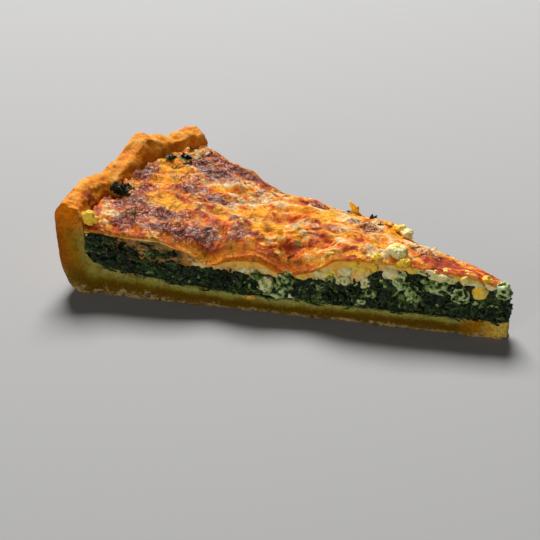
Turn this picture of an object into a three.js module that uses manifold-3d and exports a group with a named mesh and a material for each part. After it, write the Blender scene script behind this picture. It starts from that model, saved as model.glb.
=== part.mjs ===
// A slice of spinach quiche, lying as it was cut: pastry crust, spinach, custard, browned cheese and the
// lumps of cheese that the knife laid open. Millimetres, +Z up. Every shape is worked out round the middle of
// the whole quiche: a radius, an angle from the slice's middle line, and a height above the table.
import * as THREE from "three";
import { mergeVertices } from "three/addons/utils/BufferGeometryUtils.js";
import Module from "manifold-3d";

const { degToRad, smoothstep, lerp } = THREE.MathUtils;

// The quiche and the cut
const HALF_ANGLE = degToRad(15.5);
const TIP_RADIUS = 6; // the point of the slice is blunt
const GAP = 0.3; // between neighbours that touch

// The crust, whose section goes round its baked edge
const BASE_RADIUS = 135;
const WALL_RADIUS = 140.8;
const WALL_HEIGHT = 27.8;
const WALL_INNER_RADIUS = 132.4;
const FLOOR_HEIGHT = 5.3;
const FLOOR_SLOPE_START = 85; // the floor thickens from here to the wall
const FLOOR_AT_WALL = 8.9;
const RIM_INNER = { radius: 133.8, height: 26.4 }; // where the wall's inner face meets the rim
const LATHE_STEPS = 150; // round the whole quiche
// Where fingers pinched the rim: angle in degrees, lift and half width in degrees
const RIM_PINCHES = [
  { at: -9.5, lift: 0.9, width: 4 },
  { at: -4, lift: -0.8, width: 1.8 },
  { at: 5.2, lift: 3.6, width: 3.2 },
  { at: 10.4, lift: -0.6, width: 1.8 },
  { at: 16.5, lift: -0.8, width: 3 },
];

// The filling's top along the two cut faces and between them
const FRONT_HEIGHT = 21.6;
const MIDDLE_HEIGHT = 22.4;
const BACK_HEIGHT = 20.3;
const EDGE_REACH = 7; // how far a cut face's sag reaches into the slice
const EDGE_SMOOTHING = 0.7; // how much flatter the lumps of cheese are there
const TIP_FALL = 3;
// Where the knife dragged the soft top down: radius, depth and half width
const FRONT_SAGS = [
  { at: 131, depth: -0.6, width: 6 },
  { at: 102, depth: 1.9, width: 6 },
  { at: 94, depth: 4.6, width: 5 },
  { at: 86, depth: 2.3, width: 8 },
  { at: 72, depth: 5.4, width: 5.5 },
  { at: 64, depth: 4.1, width: 6 },
  { at: 24, depth: 1.6, width: 11 },
];
const BACK_SAGS = [
  { at: 131, depth: -1.3, width: 7 },
  { at: 97, depth: 4.1, width: 9 },
  { at: 85, depth: 1.8, width: 7 },
  { at: 72, depth: 1.9, width: 5 },
  { at: 52, depth: -1, width: 4.5 },
  { at: 38, depth: 3.1, width: 9 },
  { at: 17, depth: 3.8, width: 13 },
];

// The layers under the top
const SPINACH_HEIGHT = 12;
const SPINACH_BY_WALL = 6;
const SPINACH_BY_TIP = { front: 6.3, back: 3.6 };
const WALL_REACH = [119, 128]; // the spinach climbs to the wall between these radii
const TIP_REACH = [38, 56]; // and to the tip between these
const CUSTARD_LEAST = 1;
const CHEESE_THICKNESS = 1.9;
const CHEESE_LEAST = 1.3;

// Steps along the slice, across it and up it
const TOP_STEPS = [42, 13, 4];
const LAYER_STEPS = [22, 7, 1];
const CUT_STEPS = [40, 1, 8];
const SIMPLER = 0.06; // faces this near to flat are merged after the cuts

const wasm = await Module();
wasm.setup();

// A repeatable random number from 0 to 1
function randomFrom(seed) {
  let state = seed;
  return () => {
    state = (Math.imul(state, 1664525) + 1013904223) >>> 0;
    return state / 4294967296;
  };
}

const hump = (x, at, width) => Math.exp(-(((x - at) / width) ** 2));
const place = (radius, angle, height) =>
  new THREE.Vector3(-radius * Math.cos(angle), radius * Math.sin(angle), height);

// --- Solids ---------------------------------------------------------------------------------------------

function solidOf(geometry) {
  const bare = geometry.clone();
  bare.deleteAttribute("normal");
  bare.deleteAttribute("uv");
  const merged = mergeVertices(bare, 1e-3);
  return new wasm.Manifold(
    new wasm.Mesh({
      numProp: 3,
      vertProperties: merged.attributes.position.array,
      triVerts: new Uint32Array(merged.index.array),
    }),
  );
}

function geometryOf(solid) {
  const { numProp, vertProperties, triVerts } = solid.getMesh();
  const geometry = new THREE.BufferGeometry();
  geometry.setAttribute("position", new THREE.BufferAttribute(vertProperties, numProp));
  geometry.setIndex(new THREE.BufferAttribute(triVerts, 1));
  geometry.computeVertexNormals();
  return geometry;
}

// The largest of the bodies that a cut leaves, without its loose scraps
const largest = (solid) => solid.decompose().sort((a, b) => b.volume() - a.volume())[0];

function moveVertices(geometry, move) {
  const positions = geometry.attributes.position;
  const point = new THREE.Vector3();
  for (let i = 0; i < positions.count; i++) {
    positions.setXYZ(i, ...move(point.fromBufferAttribute(positions, i)).toArray());
  }
  return geometry;
}

// A block bent into a wedge of the quiche. low and high are heights at a radius and a share across the slice,
// from -1 at the front cut to 1 at the back; relief is how far the cut faces stand out.
function wedge({ inner, outer, steps, low, high, relief = () => 0 }) {
  const block = new THREE.BoxGeometry(1, 2, 1, ...steps);
  return solidOf(
    moveVertices(block, ({ x, y: across, z }) => {
      const radius = lerp(outer, inner, x + 0.5);
      const height = lerp(low(radius, across), high(radius, across), z + 0.5);
      const point = place(radius, across * HALF_ANGLE, height);
      point.y += across * relief(radius, height, Math.sign(across));
      return point;
    }),
  );
}

// --- Crust ----------------------------------------------------------------------------------------------

// The rim rises, falls and leans where it was pinched. Below the filling's top the wall is round.
function pinchRim(point) {
  const angle = THREE.MathUtils.radToDeg(Math.atan2(point.y, -point.x));
  const lift = RIM_PINCHES.reduce((sum, p) => sum + p.lift * hump(angle, p.at, p.width), 0);
  const share = smoothstep(point.z, 13, WALL_HEIGHT);
  const radius = Math.hypot(point.x, point.y);
  const stretch = radius > 0 ? 1 + (0.55 * lift * share) / radius : 1;
  return new THREE.Vector3(point.x * stretch, point.y * stretch, point.z + lift * share);
}

function lathe(points) {
  const turned = new THREE.LatheGeometry(points, LATHE_STEPS);
  turned.rotateX(Math.PI / 2);
  return solidOf(moveVertices(turned, pinchRim));
}

// From the floor's middle out to the wall and up to the rim. inset moves it inwards and up.
function innerProfile(inset) {
  const path = new THREE.Path();
  path.moveTo(0, FLOOR_HEIGHT);
  path.lineTo(FLOOR_SLOPE_START, FLOOR_HEIGHT);
  path.lineTo(WALL_INNER_RADIUS - 11, FLOOR_AT_WALL - 0.5);
  path.quadraticCurveTo(WALL_INNER_RADIUS - 1, FLOOR_AT_WALL + 0.5, WALL_INNER_RADIUS - 0.3, 16);
  path.quadraticCurveTo(WALL_INNER_RADIUS - 0.2, 22, RIM_INNER.radius, RIM_INNER.height);
  return path.getPoints(6).map(({ x, y }) => new THREE.Vector2(Math.max(x - inset, 0), y + inset));
}

function outerProfile() {
  const path = new THREE.Path();
  path.moveTo(0, 0);
  path.lineTo(BASE_RADIUS, 0);
  path.quadraticCurveTo(WALL_RADIUS, 4, WALL_RADIUS, WALL_HEIGHT - 6.6);
  path.quadraticCurveTo(WALL_RADIUS, WALL_HEIGHT - 0.6, WALL_RADIUS - 3.2, WALL_HEIGHT);
  path.quadraticCurveTo(RIM_INNER.radius + 1, WALL_HEIGHT + 0.2, RIM_INNER.radius, RIM_INNER.height);
  return path.getPoints(6);
}

// Dough tears a little under the knife
const crumbRelief = (radius, height, side) =>
  0.22 * Math.sin(radius * 0.83 + side) * Math.sin(height * 1.7 + radius * 0.21) +
  0.16 * Math.sin(radius * 0.31 + 2 * side);

function crust() {
  const shell = lathe([...outerProfile(), ...innerProfile(0).reverse().slice(1)]);
  const cut = wedge({
    inner: TIP_RADIUS,
    outer: WALL_RADIUS + 8,
    steps: CUT_STEPS,
    low: () => -1,
    high: () => WALL_HEIGHT + 8,
    relief: crumbRelief,
  });
  return largest(shell.intersect(cut)).simplify(SIMPLER);
}

// --- Filling --------------------------------------------------------------------------------------------

const sagAt = (radius, sags) => sags.reduce((sum, s) => sum + s.depth * hump(radius, s.at, s.width), 0);

// Lumps of melted cheese
const lumps = (radius, across) => {
  const y = radius * Math.sin(across * HALF_ANGLE);
  return (
    0.7 * Math.sin(radius * 0.41 + 0.5 * y) * Math.sin(y * 0.43 + 1.1 + 0.03 * radius) +
    0.5 * Math.sin(radius * 0.66 - y * 0.4 + 2) * Math.cos(y * 0.58 + radius * 0.14) +
    0.35 * Math.sin(radius * 0.19 + y * 0.8)
  );
};

function topHeight(radius, across) {
  const fall = TIP_FALL * (1 - smoothstep(radius, TIP_RADIUS, 18));
  const middle = MIDDLE_HEIGHT + 1.2 * smoothstep(radius, 100, 128);
  const front = FRONT_HEIGHT - sagAt(radius, FRONT_SAGS);
  const back = BACK_HEIGHT - sagAt(radius, BACK_SAGS);
  const nearFront = hump(radius * Math.sin((across + 1) * HALF_ANGLE), 0, EDGE_REACH);
  const nearBack = hump(radius * Math.sin((1 - across) * HALF_ANGLE), 0, EDGE_REACH);
  const nearCut = nearFront + nearBack;
  const edges = ((front - middle) * nearFront + (back - middle) * nearBack) / Math.max(nearCut, 1);
  const lumpy = lumps(radius, across) * (1 - EDGE_SMOOTHING * Math.min(nearCut, 1));
  return middle + edges - fall + lumpy;
}

// The lowest that the top comes near to a point, so that the coarser layers stay under it
function topNear(radius, across) {
  const near = [-3, 0, 3].flatMap((along) => [-0.12, 0, 0.12].map((share) => [along, share]));
  return Math.min(...near.map(([along, share]) => topHeight(radius + along, across + share)));
}

function spinachTop(radius, across) {
  const byTip = lerp(SPINACH_BY_TIP.front, SPINACH_BY_TIP.back, (across + 1) / 2);
  const height =
    SPINACH_HEIGHT +
    SPINACH_BY_WALL * smoothstep(radius, ...WALL_REACH) +
    byTip * (1 - smoothstep(radius, ...TIP_REACH)) -
    3 * (1 - smoothstep(radius, TIP_RADIUS, 28)) +
    0.5 * Math.sin(radius * 0.37 + across * 2);
  const most = topNear(radius, across) - CHEESE_LEAST - CUSTARD_LEAST - 2 * GAP;
  return Math.min(height, most);
}

function cheeseBottom(radius, across) {
  const thickness = CHEESE_THICKNESS + 1.6 * hump(radius, 80, 14);
  const least = spinachTop(radius, across) + GAP + CUSTARD_LEAST + GAP;
  return Math.max(topNear(radius, across) + 0.5 - thickness, least);
}

// The soft filling bulges where it is high, and the spinach stands out of the cut
const fillingRelief = (radius, height, side) =>
  0.35 * Math.sin(radius * 0.61 + 1.3 * side) * Math.sin(height * 0.9 + radius * 0.17) +
  0.3 * Math.sin(radius * 0.23 + height * 0.4 - side);

// Everything under a height, out past the slice on every side
const under = (height) =>
  wedge({
    inner: TIP_RADIUS - 4,
    outer: WALL_RADIUS,
    steps: LAYER_STEPS,
    low: () => 0,
    high: height,
    relief: () => 5,
  });

const raised = (height, by) => (radius, across) => height(radius, across) + by;

// The room inside the crust
const bowl = () =>
  lathe([
    ...innerProfile(GAP),
    new THREE.Vector2(WALL_INNER_RADIUS - GAP, WALL_HEIGHT + 9),
    new THREE.Vector2(0, WALL_HEIGHT + 9),
  ]);

function filling() {
  const block = wedge({
    inner: TIP_RADIUS,
    outer: WALL_RADIUS - 2,
    steps: TOP_STEPS,
    low: () => 2,
    high: topHeight,
    relief: fillingRelief,
  });
  const whole = block.intersect(bowl());
  const overSpinach = whole.subtract(under(raised(spinachTop, GAP)));
  return {
    spinach: whole.intersect(under(spinachTop)),
    custard: overSpinach.intersect(under(raised(cheeseBottom, -GAP))),
    cheese: overSpinach.subtract(under(cheeseBottom)),
  };
}

// --- Pieces in and on the layers ------------------------------------------------------------------------

// A ball of few faces, pressed to its sizes and dented, turned about Z and then set in place
function nugget({ at, size, turn = 0, detail = 1, dent = 0.12, phase = 0 }) {
  const ball = new THREE.IcosahedronGeometry(0.5, detail);
  const dented = (p) => 1 + dent * Math.sin(p.x * 9 + phase) * Math.cos(p.y * 8 + p.z * 7);
  moveVertices(ball, (p) => p.multiplyScalar(dented(p)));
  ball.scale(...size);
  ball.rotateZ(turn);
  ball.translate(at.x, at.y, at.z);
  return solidOf(ball);
}

// Lumps of pale cheese, laid open by the knife or standing out of the top: radius, share across the slice,
// height, and size along, through and up
const CHEESE_LUMPS = [
  { radius: 77, across: -1, height: 9.2, size: [5.6, 5, 5.4] },
  { radius: 54, across: -1, height: 13.6, size: [5.2, 4.4, 4] },
  { radius: 47.6, across: -1, height: 13.2, size: [4.4, 4, 4] },
  { radius: 40.4, across: -1, height: 16.8, size: [7.4, 4.6, 4] },
  { radius: 14.8, across: -1, height: 13.8, size: [5.2, 4, 4.2] },
  { radius: 39.6, across: -0.74, height: 22, size: [6.6, 5.4, 4.8] },
  { radius: 98, across: 1, height: 9.6, size: [5, 4.6, 4.4] },
  { radius: 62, across: 1, height: 11, size: [5.8, 4.8, 4.6] },
  { radius: 35, across: 1, height: 12.4, size: [4.6, 4.2, 4.2] },
];
const LUMP_SHOWS = 0.25; // share of a lump's depth that stands out of the cut

function lumpAt({ radius, across, height, size }, grow, phase) {
  const angle = across * HALF_ANGLE;
  const side = Math.sign(across);
  const middle = place(radius, angle, height);
  const inwards = size[1] * (0.5 - LUMP_SHOWS);
  middle.x += side * Math.sin(angle) * inwards;
  middle.y -= side * Math.cos(angle) * inwards;
  return nugget({ at: middle, size: size.map((s) => s + 2 * grow), turn: -angle, phase });
}

// Chopped leaves that stand out of the spinach's cut faces. They grow coarser towards the tip.
const LEAF_ROWS = [
  { side: -1, count: 38 },
  { side: 1, count: 25 },
];
const LEAF_START = 9;
const LEAF_END = 126;
const TIP_LEAVES = 7;

function cutLeaves(random) {
  const leaves = [];
  for (const { side, count } of LEAF_ROWS) {
    for (let i = 0; i < count; i++) {
      const share = (i + random()) / count;
      const radius = lerp(LEAF_START, LEAF_END, share ** 1.15);
      const low = FLOOR_HEIGHT + 2 + 3 * smoothstep(radius, 100, 128);
      const high = spinachTop(radius, side) - 1.2;
      const coarse = 1 + 0.7 * (1 - smoothstep(radius, 20, 70));
      const size = [lerp(3, 5.4, random()) * coarse, lerp(1.8, 2.8, random())];
      size.push(lerp(1.1, 1.9, random()) * coarse);
      const at = place(radius, side * HALF_ANGLE, lerp(low, high, random()));
      leaves.push(nugget({ at, size, turn: -side * HALF_ANGLE, detail: 0, dent: 0.3, phase: i }));
    }
  }
  for (let i = 0; i < TIP_LEAVES; i++) {
    const height = lerp(FLOOR_HEIGHT + 2, spinachTop(TIP_RADIUS, 0) - 1, i / TIP_LEAVES);
    const at = place(TIP_RADIUS + 0.5, lerp(-0.22, 0.22, random()), height);
    leaves.push(nugget({ at, size: [3.4, 2.6, 2], turn: i, detail: 0, dent: 0.3, phase: i }));
  }
  return leaves;
}

// Leaves and crisp shards baked onto the cheese: radius, angle in degrees, size and turn. The last is egg
// that climbed the wall by the front cut.
const TOP_PIECES = [
  { radius: 129.4, angle: -5.2, size: [5.6, 4, 2.4], turn: 0.4 },
  { radius: 129.4, angle: 8.2, size: [5.2, 2.6, 2], turn: -0.5 },
  { radius: 127.8, angle: 9.9, size: [3.6, 2.6, 2.4], turn: 0.9 },
  { radius: 130, angle: 11.2, size: [3.8, 2.2, 1.8], turn: 0.1 },
  { radius: 124.4, angle: 7.8, size: [3.2, 2, 1.8], turn: -0.9 },
  { radius: 57.6, angle: 13, size: [2.8, 2.4, 3], turn: 0.2 },
  { radius: 63, angle: 12.8, size: [3.4, 2, 6.4], turn: 0.5 },
  { radius: 69, angle: -12.8, size: [3.2, 2.2, 1.8], turn: 0.7 },
  { radius: 130.4, angle: -14.6, size: [3.2, 3.4, 7], turn: 0 },
];

const topPieces = () =>
  TOP_PIECES.map(({ radius, angle, size, turn }, i) => {
    const height = topHeight(radius, degToRad(angle) / HALF_ANGLE) + 0.15 * size[2];
    return nugget({ at: place(radius, degToRad(angle), height), size, turn, detail: 1, phase: i });
  });

// --- The slice ------------------------------------------------------------------------------------------

const MATERIALS = {
  pastry: { color: 0xc98a3a, roughness: 0.75, metalness: 0 },
  spinach: { color: 0x24381a, roughness: 0.45, metalness: 0 },
  custard: { color: 0xe0cf94, roughness: 0.5, metalness: 0 },
  browned_cheese: { color: 0xd98a33, roughness: 0.4, metalness: 0 },
  pale_cheese: { color: 0xe6ddb0, roughness: 0.5, metalness: 0 },
};

function nodeOf(name, solid, material) {
  const mesh = new THREE.Mesh(geometryOf(solid), new THREE.MeshStandardMaterial(MATERIALS[material]));
  mesh.name = name;
  return mesh;
}

function quicheSlice() {
  const random = randomFrom(7);
  const layers = filling();
  const pockets = wasm.Manifold.union(CHEESE_LUMPS.map((lump, i) => lumpAt(lump, 1.25 * GAP, i)));
  const leaves = wasm.Manifold.union(cutLeaves(random)).intersect(under(spinachTop));
  const onTop = wasm.Manifold.union(topPieces()).subtract(under(cheeseBottom));
  const leafy = layers.spinach.add(leaves.intersect(bowl()));
  const topped = layers.cheese.add(onTop.intersect(bowl()));
  const [spinach, custard, cheese] = [leafy, layers.custard, topped].map((layer) =>
    largest(layer.subtract(pockets)).simplify(SIMPLER),
  );

  const slice = new THREE.Group();
  slice.add(nodeOf("pastry_crust", crust(), "pastry"));
  slice.add(nodeOf("spinach_layer", spinach, "spinach"));
  slice.add(nodeOf("custard_layer", custard, "custard"));
  slice.add(nodeOf("cheese_topping", cheese, "browned_cheese"));
  CHEESE_LUMPS.forEach((lump, i) => {
    slice.add(nodeOf(`cheese_lump_${i + 1}`, lumpAt(lump, 0, i), "pale_cheese"));
  });

  // The origin is under the middle of the slice, on the table
  const box = new THREE.Box3().setFromObject(slice);
  const middle = box.getCenter(new THREE.Vector3());
  slice.position.set(-middle.x, -middle.y, -box.min.z);
  return slice;
}

export default quicheSlice();
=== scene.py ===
import math

import bmesh
import bpy
import numpy as np
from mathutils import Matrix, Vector


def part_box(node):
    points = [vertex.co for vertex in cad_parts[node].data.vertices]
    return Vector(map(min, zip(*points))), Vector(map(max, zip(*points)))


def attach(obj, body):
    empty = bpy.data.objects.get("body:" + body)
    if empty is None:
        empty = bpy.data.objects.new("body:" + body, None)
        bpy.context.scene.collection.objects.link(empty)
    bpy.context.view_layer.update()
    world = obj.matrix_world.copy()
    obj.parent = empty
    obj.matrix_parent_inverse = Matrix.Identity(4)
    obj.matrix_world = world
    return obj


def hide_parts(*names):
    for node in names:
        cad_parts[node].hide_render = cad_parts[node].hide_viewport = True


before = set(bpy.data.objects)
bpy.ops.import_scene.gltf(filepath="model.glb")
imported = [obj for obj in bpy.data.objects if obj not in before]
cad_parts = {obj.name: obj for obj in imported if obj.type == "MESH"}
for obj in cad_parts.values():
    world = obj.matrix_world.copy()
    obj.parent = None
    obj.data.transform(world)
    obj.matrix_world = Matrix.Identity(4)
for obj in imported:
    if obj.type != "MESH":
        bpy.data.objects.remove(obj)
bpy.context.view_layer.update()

MM = 0.001

# The two cuts, each half of the slice's angle from its middle line, and the crust
FRONT, BACK = -1, 1
CUT_ANGLE = 15.5
HALF_ANGLE = math.radians(CUT_ANGLE)
TIP_RADIUS = 6.0
TIP_ROUNDING = 0.6
TIP_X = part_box("pastry_crust")[1].x / MM
CENTRE_X = TIP_X + TIP_RADIUS * math.cos(HALF_ANGLE)
WALL_HEIGHT = 27.8
WALL_INNER_RADIUS = 132.2
# Outer and inner faces of the pastry, from the tip along the floor and up the wall: radius and height
OUTER_FACE = np.array([
    (6, 0), (45, 0), (85, 0), (122, 0), (132, 0), (135.5, 0.5), (138.1, 3.8), (140.1, 10.5), (140.7, 17.5),
    (140.9, 22.5), (140.4, 25.6), (138.7, 28),
])
INNER_FACE = np.array([
    (6, 5.3), (45, 5.3), (85, 5.3), (119, 8.3), (126.8, 9.7), (130.2, 12), (131.6, 15), (132, 18),
    (132.2, 21), (132.5, 23.4), (133.1, 25), (134, 26.6),
])
# Where fingers pinched the rim: angle in degrees, lift and half width in degrees
RIM_PINCHES = [(-9.5, 0.9, 4), (-4, -0.8, 1.8), (5.2, 3.6, 3.2), (10.4, -0.6, 1.8), (16.5, -0.8, 3)]

# The filling's top along the cuts and between them. A sag is a radius, a depth and a half width.
FRONT_HEIGHT = 21.6
MIDDLE_HEIGHT = 22.4
BACK_HEIGHT = 20.3
EDGE_REACH = 7
EDGE_SMOOTHING = 0.7
TIP_FALL = 3
FRONT_SAGS = [
    (131, -0.6, 6), (102, 1.9, 6), (94, 4.6, 5), (86, 2.3, 8), (72, 5.4, 5.5), (64, 4.1, 6), (24, 1.6, 11),
]
BACK_SAGS = [
    (131, -1.3, 7), (97, 4.1, 9), (85, 1.8, 7), (72, 1.9, 5), (52, -1, 4.5), (38, 3.1, 9), (17, 3.8, 13),
]

SPINACH_HEIGHT = 12
SPINACH_BY_WALL = 6
SPINACH_BY_TIP_FRONT = 6.3
SPINACH_BY_TIP_BACK = 3.6
WALL_REACH = (119, 128)
TIP_REACH = (38, 56)
CHEESE_THICKNESS = 1.9


# --- Sums on arrays -------------------------------------------------------------------------------


def smooth(value, start, end):
    share = np.clip((value - start) / (end - start), 0, 1)
    return share * share * (3 - 2 * share)


def hump(value, at, width):
    return np.exp(-(((value - at) / width) ** 2))


def blend(low, high, share):
    return low + (high - low) * share


SHUFFLED = np.random.default_rng(7).permutation(256)
DIRECTIONS = np.random.default_rng(8).normal(size=(256, 3))
DIRECTIONS /= np.linalg.norm(DIRECTIONS, axis=1)[:, None]


def shuffled(cells, seed=0):
    """A number from 0 to 255 for each cell of a grid, mixed until it follows no pattern."""
    mixed = seed
    for along in cells.T:
        mixed = SHUFFLED[(mixed + along) & 255]
    return mixed


def scattered(cells, seed):
    """Three values from 0 to 1 for each cell of a grid."""
    mixed = shuffled(cells, seed)
    return np.stack([mixed, SHUFFLED[mixed], SHUFFLED[(mixed + 91) & 255]], -1) / 256


def noise(points, size, seed=0):
    """Smooth random values, mostly from -1 to 1, in lumps of about this size."""
    scaled = points / size + 50.5 + seed * 7.3
    cells = np.floor(scaled).astype(int)
    inside = scaled - cells
    fade = inside**3 * (inside * (inside * 6 - 15) + 10)
    total = np.zeros(len(points))
    for dx, dy, dz in np.ndindex(2, 2, 2):
        weight = np.abs(1 - dx - fade[:, 0]) * np.abs(1 - dy - fade[:, 1]) * np.abs(1 - dz - fade[:, 2])
        slope = DIRECTIONS[shuffled(cells + (dx, dy, dz))]
        total += weight * np.einsum("ij,ij->i", slope, inside - (dx, dy, dz))
    return total * 1.7


def rough(points, size, seed=0, layers=3):
    """Noise on noise, each layer finer and weaker."""
    return sum(noise(points, size / 2.1**k, seed + k) / 1.9**k for k in range(layers))


def crests(points, size, seed=0):
    """Sharp folds, 1 along their crests."""
    return 1 - np.clip(np.abs(noise(points, size, seed)) * 2.2, 0, 1)


def crumbs(points, size, seed=0):
    """Round crumbs of uneven size packed together, 1 at their middles and 0 in the cracks."""
    scaled = points / size + 60.5 + seed * 3.7
    cells = np.floor(scaled).astype(int)
    nearest = np.full(len(points), 9.0)
    for offset in np.ndindex(3, 3, 3):
        near = cells + offset - 1
        middle = near + scattered(near, seed)
        nearest = np.minimum(nearest, np.linalg.norm(scaled - middle, axis=1))
    return np.clip(1 - nearest * 1.15, 0, 1)


def warped(points, size, amount, seed=0):
    """Points pushed about sideways, which makes patterns on them run and curl."""
    push = np.stack([noise(points, size, seed + k) for k in range(2)] + [np.zeros(len(points))], -1)
    return points + amount * push


def through(points, position):
    """The smooth curve through the points, at positions counted from the first."""
    ends = np.vstack([2 * points[0] - points[1], points, 2 * points[-1] - points[-2]])
    start = np.clip(position.astype(int), 0, len(points) - 2)
    part = (position - start)[:, None]
    a, b, c, d = (ends[start + k] for k in range(4))
    return b + 0.5 * part * (c - a + part * (2 * a - 5 * b + 4 * c - d + part * (3 * (b - c) + d - a)))


# --- The quiche's own surfaces --------------------------------------------------------------------


def place(radius, angle, height):
    return np.stack([CENTRE_X - radius * np.cos(angle), radius * np.sin(angle), height + 0 * radius], -1)


def fan(radius, across, height):
    """Points by their share of the half width, on a slice whose tip is rounded."""
    narrowed = 1 - TIP_ROUNDING * smooth(radius, TIP_RADIUS + 2, TIP_RADIUS) ** 2
    return place(radius, across * HALF_ANGLE * narrowed, height)


def sag(radius, sags):
    return sum(depth * hump(radius, at, width) for at, depth, width in sags)


def cheese_lumps(radius, across):
    y = radius * np.sin(across * HALF_ANGLE)
    return (
        0.7 * np.sin(radius * 0.41 + 0.5 * y) * np.sin(y * 0.43 + 1.1 + 0.03 * radius)
        + 0.5 * np.sin(radius * 0.66 - y * 0.4 + 2) * np.cos(y * 0.58 + radius * 0.14)
        + 0.35 * np.sin(radius * 0.19 + y * 0.8)
    )


def top_height(radius, across):
    fall = TIP_FALL * (1 - smooth(radius, TIP_RADIUS, 18))
    middle = MIDDLE_HEIGHT + 1.2 * smooth(radius, 100, 128)
    front = FRONT_HEIGHT - sag(radius, FRONT_SAGS)
    back = BACK_HEIGHT - sag(radius, BACK_SAGS)
    near_front = hump(radius * np.sin((across + 1) * HALF_ANGLE), 0, EDGE_REACH)
    near_back = hump(radius * np.sin((1 - across) * HALF_ANGLE), 0, EDGE_REACH)
    near_cut = near_front + near_back
    edges = ((front - middle) * near_front + (back - middle) * near_back) / np.maximum(near_cut, 1)
    lumpy = cheese_lumps(radius, across) * (1 - EDGE_SMOOTHING * np.minimum(near_cut, 1))
    return middle + edges - fall + lumpy


def spinach_top(radius, across):
    by_tip = blend(SPINACH_BY_TIP_FRONT, SPINACH_BY_TIP_BACK, (across + 1) / 2)
    height = (
        SPINACH_HEIGHT
        + SPINACH_BY_WALL * smooth(radius, *WALL_REACH)
        + by_tip * (1 - smooth(radius, *TIP_REACH))
        - 3 * (1 - smooth(radius, TIP_RADIUS, 28))
        + 0.5 * np.sin(radius * 0.37 + across * 2)
    )
    return np.minimum(height, top_height(radius, across) - 2.6)


def cheese_bottom(radius, across):
    thickness = CHEESE_THICKNESS + 1.6 * hump(radius, 80, 14)
    return np.maximum(top_height(radius, across) - thickness, spinach_top(radius, across) + 1.2)


def floor_top(radius):
    """Height of the pastry under the filling, rising into the wall."""
    line = through(INNER_FACE, np.linspace(0, 8, 200))
    return np.interp(radius, line[:, 0], line[:, 1])


def edge_distance(radius, across):
    return radius * HALF_ANGLE * (1 - np.abs(across))


def crowded(share):
    """Spreads rows of points from -1 to 1 so that more lie near the two ends."""
    return share * (1.35 - 0.35 * share * share)


# --- Making pieces --------------------------------------------------------------------------------


def deselect():
    bpy.ops.object.select_all(action="DESELECT")


def divide(axis, parts):
    """Cuts the piece that is being edited into this many parts along an axis."""
    while parts > 1:
        cuts = max(n for n in range(2, 91) if parts % n == 0)
        mesh = bmesh.from_edit_mesh(bpy.context.edit_object.data)
        for edge in mesh.edges:
            run = edge.verts[0].co - edge.verts[1].co
            edge.select_set(abs(run[axis]) > 1e-4)
        bmesh.update_edit_mesh(bpy.context.edit_object.data)
        bpy.ops.mesh.subdivide(number_cuts=cuts - 1)
        parts //= cuts


def block(name, along, across, up):
    """A cube of size 1 with its sides divided along X, Y and Z."""
    deselect()
    bpy.ops.mesh.primitive_cube_add(size=1)
    piece = bpy.context.active_object
    piece.name = name
    bpy.ops.object.mode_set(mode="EDIT")
    bpy.ops.mesh.select_mode(type="EDGE")
    for axis, parts in enumerate((along, across, up)):
        bpy.ops.mesh.select_all(action="DESELECT")
        divide(axis, parts)
    bpy.ops.object.mode_set(mode="OBJECT")
    return piece


def corners(piece):
    flat = np.empty(len(piece.data.vertices) * 3)
    piece.data.vertices.foreach_get("co", flat)
    return flat.reshape(-1, 3)


def store(piece, points, **painted):
    """Sets where the vertices are, in millimetres, and paints named values on them."""
    piece.data.vertices.foreach_set("co", (points * MM).ravel())
    for name, values in painted.items():
        paint = piece.data.attributes.new(name, "FLOAT", "POINT")
        paint.data.foreach_set("value", np.clip(values, 0, 1).astype(np.float32))
    piece.data.update()


def shade(piece, finish, slot, *nodes):
    """Smooths a piece, gives it its finish, ties it to the root body and hides the nodes that it stands for.
    The slot is not used.
    """
    deselect()
    piece.select_set(True)
    bpy.context.view_layer.objects.active = piece
    bpy.ops.object.shade_smooth()
    piece.data.materials.clear()
    piece.data.materials.append(finish)
    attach(piece, "root")
    if nodes:
        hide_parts(*nodes)


# --- Finishes -------------------------------------------------------------------------------------


class Amount:
    """A socket of a finish that carries a number, for use in sums."""

    def __init__(self, finish, socket):
        self.finish = finish
        self.socket = socket

    def _sum(self, operation, first, second):
        node = self.finish.add("ShaderNodeMath", {"operation": operation}, [first, second])
        return Amount(self.finish, node.outputs[0])

    def __add__(self, other):
        return self._sum("ADD", self, other)

    def __radd__(self, other):
        return self._sum("ADD", other, self)

    def __sub__(self, other):
        return self._sum("SUBTRACT", self, other)

    def __rsub__(self, other):
        return self._sum("SUBTRACT", other, self)

    def __mul__(self, other):
        return self._sum("MULTIPLY", self, other)

    def __rmul__(self, other):
        return self._sum("MULTIPLY", other, self)

    def swing(self, by):
        """How far the amount is from a half, times a number."""
        return (self - 0.5) * by

    def step(self, start, end):
        """0 below start and 1 above end, smooth between them."""
        values = {"Value": self, "From Min": start, "From Max": end}
        node = self.finish.add("ShaderNodeMapRange", {"interpolation_type": "SMOOTHSTEP"}, values)
        return Amount(self.finish, node.outputs["Result"])


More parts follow.
